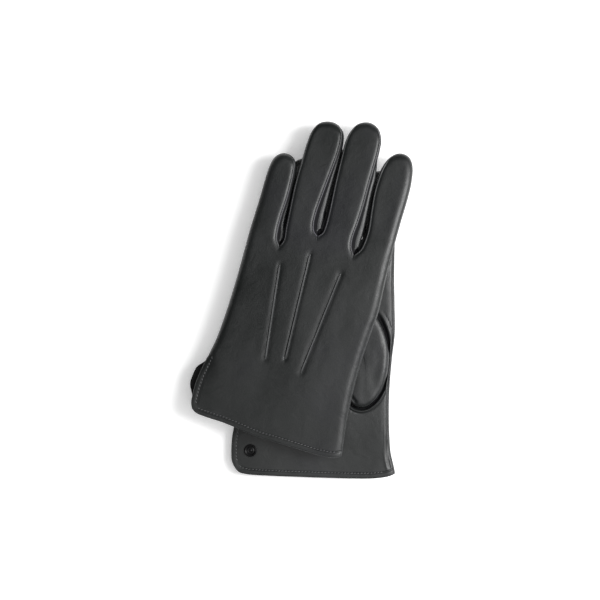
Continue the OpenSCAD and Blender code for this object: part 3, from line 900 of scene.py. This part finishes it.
def closed_spline(points, count):
    """A smooth closed curve through the points."""
    p = [tuple(q) for q in points]
    wrapped = spline(p[-3:] + p + p[:4])
    from_start = np.linalg.norm(wrapped - p[0], axis=1)
    half = len(wrapped) // 2
    first, last = int(np.argmin(from_start[:half])), half + int(np.argmin(from_start[half:]))
    return along(wrapped[first:last + 1], np.linspace(0, 1, count, endpoint=False))


def nearest_on(line, p):
    d = np.linalg.norm(line - p, axis=1)
    return line[int(np.argmin(d))]


def palm_level(pattern, x, y):
    """Height of the palm under the thumb, on the side the thumb lies on."""
    sheet = "high" if pattern.side == "right" else "low"
    return pattern.height(x, y, sheet, plain=True)


# The seam round the thumb's root, from under the thumb outwards: [place, height] in millimetres
WELT_SECTION = [(-1.0, -1.0), (-0.4, -1.5), (0.1, -1.7), (0.6, -1.6), (1.0, -1.1), (1.3, -0.4),
                (1.6, 0.25), (1.95, 0.62), (2.35, 0.72), (2.75, 0.55), (3.15, 0.25), (3.6, 0.03),
                (4.1, -0.12)]
# painted shade: the welt's cells nearer the thumb than this take the shade leather
WELT_SHADE = 1.05       # nearer the thumb than this, the seam is in the dark


def welt_shown(x, y):
    """How plainly the seam shows at a place of the thumb's outline, and how wide it opens there."""
    if x < 24 or y > 132:
        return 0.0, 0.0
    shown = float(smooth((x - 24) / 6)) * (1 - float(smooth((y - 116) / 14)))
    return shown, float(smooth((y - 84) / 18))


def build_thumb_welt(pattern):
    """The sewn seam that the palm-up glove's thumb stands in, with painted shade next to the thumb."""
    outline = closed_spline(THUMB_OUTLINES["right"], THUMB_SAMPLES)
    outline = np.roll(outline, 60, axis=0)      # its two ends are where the seam isn't seen
    normals = -outward(np.vstack([outline, outline[:1]]))[:-1]
    rows = []
    for p, n in zip(outline, normals):
        shown, wedge = welt_shown(*p)
        if shown <= 0.0:
            continue
        row = []
        room = max(pattern.nearest(*p)[0] - 0.7, 1.0) / WELT_SECTION[-1][0]
        for d, h in WELT_SECTION:
            stretch = min(1 + 0.55 * wedge, room) if d > 0 else 1.0
            q = p + n * d * stretch
            level = pattern.height(*q, "high", plain=True)
            row.append((*q, level + h * shown))
        rows.append(row)
    shade = section_cells(WELT_SECTION, rows, lambda m: 2 * (m < WELT_SHADE))
    shell = Shell()
    shell.grid(place("right", np.array(rows)), "welt", False, shade)
    shell.finish()
    return shell.piece(["welt"], "right_thumb_seam_leather", SKIN, "right_hand", "leather")


def thumb_surface(pattern):
    """Rings of points from the thumb's edge to its spine, on the palm's outside."""
    side = pattern.side
    out = 1 if side == "right" else -1
    outline = closed_spline(THUMB_OUTLINES[side], 150)
    spine = along(spline(THUMB_SPINES[side]), np.linspace(0, 1, 80))
    feet = np.array([nearest_on(spine, p) for p in outline])
    for _ in range(12):
        feet = (np.roll(feet, 1, axis=0) + feet + np.roll(feet, -1, axis=0)) / 3
    base, tip = THUMB_HEIGHT[side]
    rings = []
    for t in 1 - (1 - np.linspace(0, 1, THUMB_RINGS)) ** 1.5:
        flat = outline + (feet - outline) * t
        d = np.linalg.norm(flat - outline, axis=1)
        z = np.zeros(len(flat))
        for k, (x, y) in enumerate(flat):
            full = base + (tip - base) * float(smooth((y - 80) / 50))
            q = min(d[k] / THUMB_ROUND, 1.0)
            rise = math.sqrt(max(1 - (1 - q) ** 2, 0.0))
            wave = noise.noise(Vector((x / 9, y / 13, 4.4))) * 0.35 * rise
            crease = noise.noise(Vector((x / 5, y / 22, 8.8))) * 0.18 * rise
            if side == "right":
                crease -= THUMB_CREASE[2] * bell(segment_distance((x, y), *THUMB_CREASE[:2]), 0.75)
            z[k] = palm_level(pattern, x, y) + out * (THUMB_SKIN_GAP + full * rise + wave + crease)
        rings.append(np.column_stack([flat, z]))
    return rings


def build_thumb(pattern):
    """The thumb's closed form: its outside in rings, and a flat face next to the palm."""
    side = pattern.side
    out = 1 if side == "right" else -1
    rings = thumb_surface(pattern)
    edge, centre = rings[0], rings[-1][:, :2]
    flat = [edge]
    for t in np.linspace(0, 1, 6)[1:]:
        xy = edge[:, :2] + (centre - edge[:, :2]) * t
        flat.append([(x, y, palm_level(pattern, x, y) + out * 0.1) for x, y in xy])
    shell = Shell()
    for label, rows, flip in (("top", rings, out < 0), ("under", flat, out > 0)):
        closed = [np.vstack([r, r[:1]]) for r in rows]
        shell.grid(place(side, np.array(closed)), label, flip)
    shell.finish()
    obj = shell.piece(["top", "under"], f"{side}_thumb_leather", [LEATHER], None, "leather")
    blend_thumb(obj, side)
    return obj


def blend_thumb(obj, side):
    """Bakes the thumb's transform into its mesh."""
    height = GLOVE_H + 2 if side == "right" else -2
    start, end = (place(side, np.array((*p, height), float)) for p in THUMB_BEND[side])
    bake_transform(obj)


# ---- raised points on the back

POINT_PROUD = {"left": 1.15, "right": 0.12}
# Section of a tuck, from one side to the other: [place across it, share of its height]
POINT_SECTION = [(-1, -0.1), (-0.75, -0.06), (-0.5, -0.12), (-0.4, -0.35), (-0.32, -0.5), (-0.25, -0.45),
                 (-0.2, 0.3), (-0.15, 0.85), (-0.06, 1.0), (0.04, 0.95), (0.12, 0.7), (0.18, 0.3),
                 (0.26, 0.0), (0.4, -0.08), (0.7, -0.05), (1, -0.1)]
# the tuck's ridge is coloured with the lighter leather as painted highlight
RIDGE_SPAN = (-0.14, 0.2)       # the part of the section that is the tuck's own edge


def build_points(pattern):
    """Three narrow tucks. Each is a strip lying on the back, raised to a ridge along its middle."""
    side = pattern.side
    sheet = "high" if side == "left" else "low"
    out = 1 if side == "left" else -1
    shell = Shell()
    for a, b in POINTS:
        a, b = np.array(a, float), np.array(b, float)
        run = (b - a) / np.linalg.norm(b - a)
        across = np.array((run[1], -run[0]))
        rows = []
        for t in np.linspace(0, 1, 110):
            ends = float(smooth(min(t, 1 - t) / 0.035))
            wander = 0.12 * noise.noise(Vector((t * 9, a[0], 2.2)))
            row = []
            for u, h in POINT_SECTION:
                flat = a + (b - a) * t + across * (u * POINT_HALF * (0.4 + 0.6 * ends) + wander)
                z = pattern.height(*flat, sheet)
                z += out * (POINT_PROUD[side] * h * ends + 0.54 * bell(u * POINT_HALF, TUCK_ROOM))
                row.append((*flat, z))
            rows.append(row)
        # painted highlight: the ridge cells take the lighter leather
        ridge = section_cells(POINT_SECTION, rows, lambda m: RIDGE_SPAN[0] < m < RIDGE_SPAN[1])
        shell.grid(place(side, np.array(rows)), "tucks", out < 0, ridge)
    shell.finish()
    return shell.piece(["tucks"], f"{side}_points_leather", [LEATHER, EDGE_AND_HIGHLIGHT], f"{side}_hand", "leather")


# ---- stitches

STITCH_SIDES = 6
# A stitch's shape: [share of its length, share of its radius]
STITCH_RINGS = [(-0.5, 0.05), (-0.46, 0.55), (-0.3, 0.95), (0, 1), (0.3, 0.95), (0.46, 0.55), (0.5, 0.05)]


class Stitches:
    """Many short threads in one mesh."""

    def __init__(self, side, finger=None):
        self.side, self.finger = side, finger
        self.points, self.faces = [], []

    def add(self, middle, ahead, up, length, radius):
        """One stitch, sunk at both ends."""
        aside = np.cross(up, ahead)
        first = len(self.points)
        for t, r in STITCH_RINGS:
            centre = middle + ahead * t * length + up * (radius * (0.5 - 3.2 * t * t))
            for k in range(STITCH_SIDES):
                a = 2 * math.pi * k / STITCH_SIDES
                self.points.append(centre + (aside * math.cos(a) + up * math.sin(a)) * radius * r)
        for i in range(len(STITCH_RINGS) - 1):
            for k in range(STITCH_SIDES):
                n = (k + 1) % STITCH_SIDES
                a, b = first + i * STITCH_SIDES, first + (i + 1) * STITCH_SIDES
                self.faces.append((a + k, a + n, b + n, b + k))
        end = len(self.points) - STITCH_SIDES
        self.faces.append([first + k for k in range(STITCH_SIDES)][::-1])
        self.faces.append([end + k for k in range(STITCH_SIDES)])

    def run(self, line, z_of, out, pitch, length, slant, radius):
        """Stitches along a flat line, on the surface z_of(x, y), turned by the slant from it."""
        total = lengths(line)[-1]
        count = max(int(total / pitch), 1)
        middles = along(line, (np.arange(count) + 0.5) / count)
        ahead = along(line, np.minimum((np.arange(count) + 0.62) / count, 1))
        turn = math.radians(slant)
        for p, q in zip(middles, ahead):
            d = (q - p) / max(np.linalg.norm(q - p), 1e-9)
            d = np.array((d[0] * math.cos(turn) - d[1] * math.sin(turn),
                          d[0] * math.sin(turn) + d[1] * math.cos(turn)))
            a, b = p - d * length / 2, p + d * length / 2
            lift = np.array((*(b - a), z_of(*b) - z_of(*a)))
            lift /= np.linalg.norm(lift)
            up = np.array((0.0, 0.0, out))
            up -= lift * (up @ lift)
            up /= np.linalg.norm(up)
            self.add(np.array((*p, z_of(*p) + out * 0.05)), lift, up, length, radius)

    def build(self, name, body):
        placed = place(self.side, np.array(self.points), self.finger)
        return new_object(name, placed, self.faces, [THREAD], body)


def inset_line(line, distance):
    """A polyline moved sideways to its left by the distance."""
    return line + outward(line) * distance


# How far in from an edge or a tuck's middle the rows of stitches run
HEM_STITCH_IN, VENT_STITCH_IN, SEAM_STITCH_IN, SIDE_STITCH_IN, TUCK_STITCH_IN = 3.7, 3.4, 0.75, 1.0, 0.62
# Their pitch, length, slant in degrees and radius
HEM_THREAD, TUCK_THREAD = (2.5, 1.9, 24, 0.27), (2.1, 1.5, 14, 0.15)
SIDE_THREAD, FINGER_THREAD = (2.4, 1.5, 10, 0.14), (2.2, 1.3, 16, 0.13)


def build_hand_stitches(pattern):
    """Hem, vent, tucks and outer seam."""
    side = pattern.side
    stitches = Stitches(side)
    for sheet, out in (("high", 1), ("low", -1)):
        def z_of(x, y, sheet=sheet):
            return pattern.height(x, y, sheet)
        hem = inset_line(pattern.cuff, HEM_STITCH_IN)
        hem = hem[(hem[:, 0] > -57) & (hem[:, 0] < 55)]
        stitches.run(hem, z_of, out, *HEM_THREAD)
        vent = inset_line(pattern.vent, -VENT_STITCH_IN)
        vent = vent[(vent[:, 1] > 8) & (vent[:, 1] < VENT_TOP + 3)]
        stitches.run(vent, z_of, out, *HEM_THREAD)
    sheet, out = ("high", 1) if side == "left" else ("low", -1)
    for a, b in POINTS:
        line = along(np.array((a, b), float), np.linspace(0.02, 0.98, 40))
        line = inset_line(line, -TUCK_STITCH_IN)
        stitches.run(line, lambda x, y: pattern.height(x, y, sheet) + out * 0.1, out, *TUCK_THREAD)
    seam = inset_line(pattern.vent, -SIDE_STITCH_IN)
    seam = seam[seam[:, 1] > VENT_TOP + 3]
    stitches.run(seam, lambda x, y: pattern.height(x, y, "high"), 1, *SIDE_THREAD)
    stitches.build(f"{side}_hand_stitches", f"{side}_hand")


def build_finger_stitches(pattern, finger):
    side = pattern.side
    stitches = Stitches(side, finger)
    line = pattern.outlines[finger]
    inner = inset_line(line, -SEAM_STITCH_IN)
    peak = int(np.argmax(line[:, 1]))
    runs = []
    if finger != "little":
        runs.append(inner[8:peak - 6])
    if finger != "index":
        runs.append(inner[peak + 6:-8])
    for sheet, out in (("high", 1), ("low", -1)):
        for run in runs:
            stitches.run(run, lambda x, y, s=sheet: pattern.height(x, y, s), out, *FINGER_THREAD)
    obj = stitches.build(f"{side}_{finger}_stitches", None)
    blend_finger(obj, side, finger)


# ---- the rivet

# Profile of the head, from its middle out: [radius, height]. Plain rings, no lettering.
HEAD_PROFILE = [(0, 1.05), (0.5, 1.04), (0.9, 0.95), (1.15, 0.75), (1.5, 0.72), (1.8, 0.86), (2.1, 0.9),
                (2.4, 0.86), (2.7, 0.62), (3.0, 0.58), (3.3, 0.62), (3.6, 0.88), (3.95, 1.05),
                (4.3, 1.06), (4.65, 0.9), (4.88, 0.6), (4.95, 0.3), (4.9, 0.0)]
WASHER_PROFILE = [(0, 0.8), (1.0, 0.78), (3.4, 0.76), (3.9, 0.6), (4.0, 0.3), (4.0, 0.0)]
LATHE_SIDES = 72
RIVET_SINK = 0.1        # how far the head sits down into the leather


def lathe(side, name, profile, base, out, body):
    """A turned part standing on the height base at the rivet's place."""
    points, faces = [], []
    for r, h in profile:
        for k in range(LATHE_SIDES):
            a = 2 * math.pi * k / LATHE_SIDES
            points.append((RIVET[0] + r * math.cos(a), RIVET[1] + r * math.sin(a), base + out * h))
    for i in range(1, len(profile) - 1):
        for k in range(LATHE_SIDES):
            n = (k + 1) % LATHE_SIDES
            a, b = i * LATHE_SIDES, (i + 1) * LATHE_SIDES
            faces.append((a + k, b + k, b + n, a + n))
    for k in range(LATHE_SIDES):
        n = (k + 1) % LATHE_SIDES
        faces.append((0, LATHE_SIDES + k, LATHE_SIDES + n))
    last = (len(profile) - 1) * LATHE_SIDES
    faces.append([last + k for k in range(LATHE_SIDES)][::-1])
    if out < 0:
        faces = [f[::-1] for f in faces]
    used = sorted({v for f in faces for v in f})
    number = {v: i for i, v in enumerate(used)}
    placed = place(side, np.array([points[v] for v in used]))
    return new_object(name, placed, [[number[v] for v in f] for f in faces], [METAL], body)


def build_rivet(pattern):
    side = pattern.side
    sheet, out = ("high", 1) if side == "right" else ("low", -1)
    around = [pattern.height(RIVET[0] + 3.5 * math.cos(a), RIVET[1] + 3.5 * math.sin(a), sheet)
              for a in np.linspace(0, 2 * math.pi, 9)]
    base = sum(around) / len(around) - out * RIVET_SINK
    body = f"{side}_hand"
    cap = lathe(side, f"{side}_rivet_head", HEAD_PROFILE, base, out, body)
    inside = base - out * (INNER_OFFSET - RIVET_SINK)
    washer = lathe(side, f"{side}_rivet_washer", WASHER_PROFILE, inside, -out, body)
    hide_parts(f"{side}_rivet_cap")
    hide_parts(f"{side}_rivet_post")


# ---- both gloves

def build_pair():
    for side in ("right", "left"):
        pattern = build_glove(side)
        thumb = build_thumb(pattern)
        if side == "right":
            build_thumb_welt(pattern)
        points = build_points(pattern)
        build_hand_stitches(pattern)
        for f in FINGERS:
            build_finger_stitches(pattern, f)
        build_rivet(pattern)
        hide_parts(*(f"{side}_thumb_{part}" for part in ("outer", "inner", "lining")))
        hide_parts(f"{side}_points")


build_pair()

# ---- stage and camera

CAMERA_AT = (-0.0021, -0.0008)
CAMERA_TURN = 2.0
LENS, SENSOR = 120.0, 36.0
FRAME_WIDTH = 0.462
SUBJECT_Z = 0.02
FLOOR_HALF, FLOOR_Z = 12.0, -0.0004
WORLD_STRENGTH = 0.1
# Name, place, what it is aimed at, its size and its power in watts
LIGHTS = [("overhead", (0.85, -0.15, 1.9), (0.15, -0.05, 0.0), (2.4, 2.6), 30),
          ("key", (1.25, 0.15, 1.15), (0.0, 0.0, 0.0), (0.5, 1.3), 36),
          ("fill", (-0.75, -0.5, 1.3), (-0.05, -0.08, 0.0), (0.5, 0.5), 2.4)]


def area_light(name, at, aim, size, watts):
    light = bpy.data.lights.new(name, "AREA")
    light.shape = "RECTANGLE"
    light.size, light.size_y = size
    light.energy = watts
    obj = link(name, light)
    obj.location = at
    obj.rotation_euler = (Vector(aim) - Vector(at)).to_track_quat("-Z", "Y").to_euler()


def build_floor():
    corners = [(x * FLOOR_HALF, y * FLOOR_HALF, 0) for x, y in ((-1, -1), (1, -1), (1, 1), (-1, 1))]
    mesh = bpy.data.meshes.new("floor")
    mesh.from_pydata(corners, [], [(0, 1, 2, 3)])
    mesh.materials.append(floor_material())
    obj = link("floor", mesh)
    obj.location.z = FLOOR_Z


def build_camera():
    data = bpy.data.cameras.new("camera")
    data.lens, data.sensor_width = LENS, SENSOR
    obj = link("camera", data)
    distance = FRAME_WIDTH * LENS / SENSOR
    obj.location = (*CAMERA_AT, distance + SUBJECT_Z)
    obj.rotation_euler = (0, 0, math.radians(CAMERA_TURN))
    bpy.context.scene.camera = obj


def build_lighting():
    world = bpy.data.worlds.new("studio")
    world.use_nodes = True
    put(world.node_tree.nodes["Background"], Color=(1, 1, 1, 1), Strength=WORLD_STRENGTH)
    bpy.context.scene.world = world
    for light in LIGHTS:
        area_light(*light)


build_floor()
build_camera()
build_lighting()
bpy.context.scene.view_settings.view_transform = "Standard"
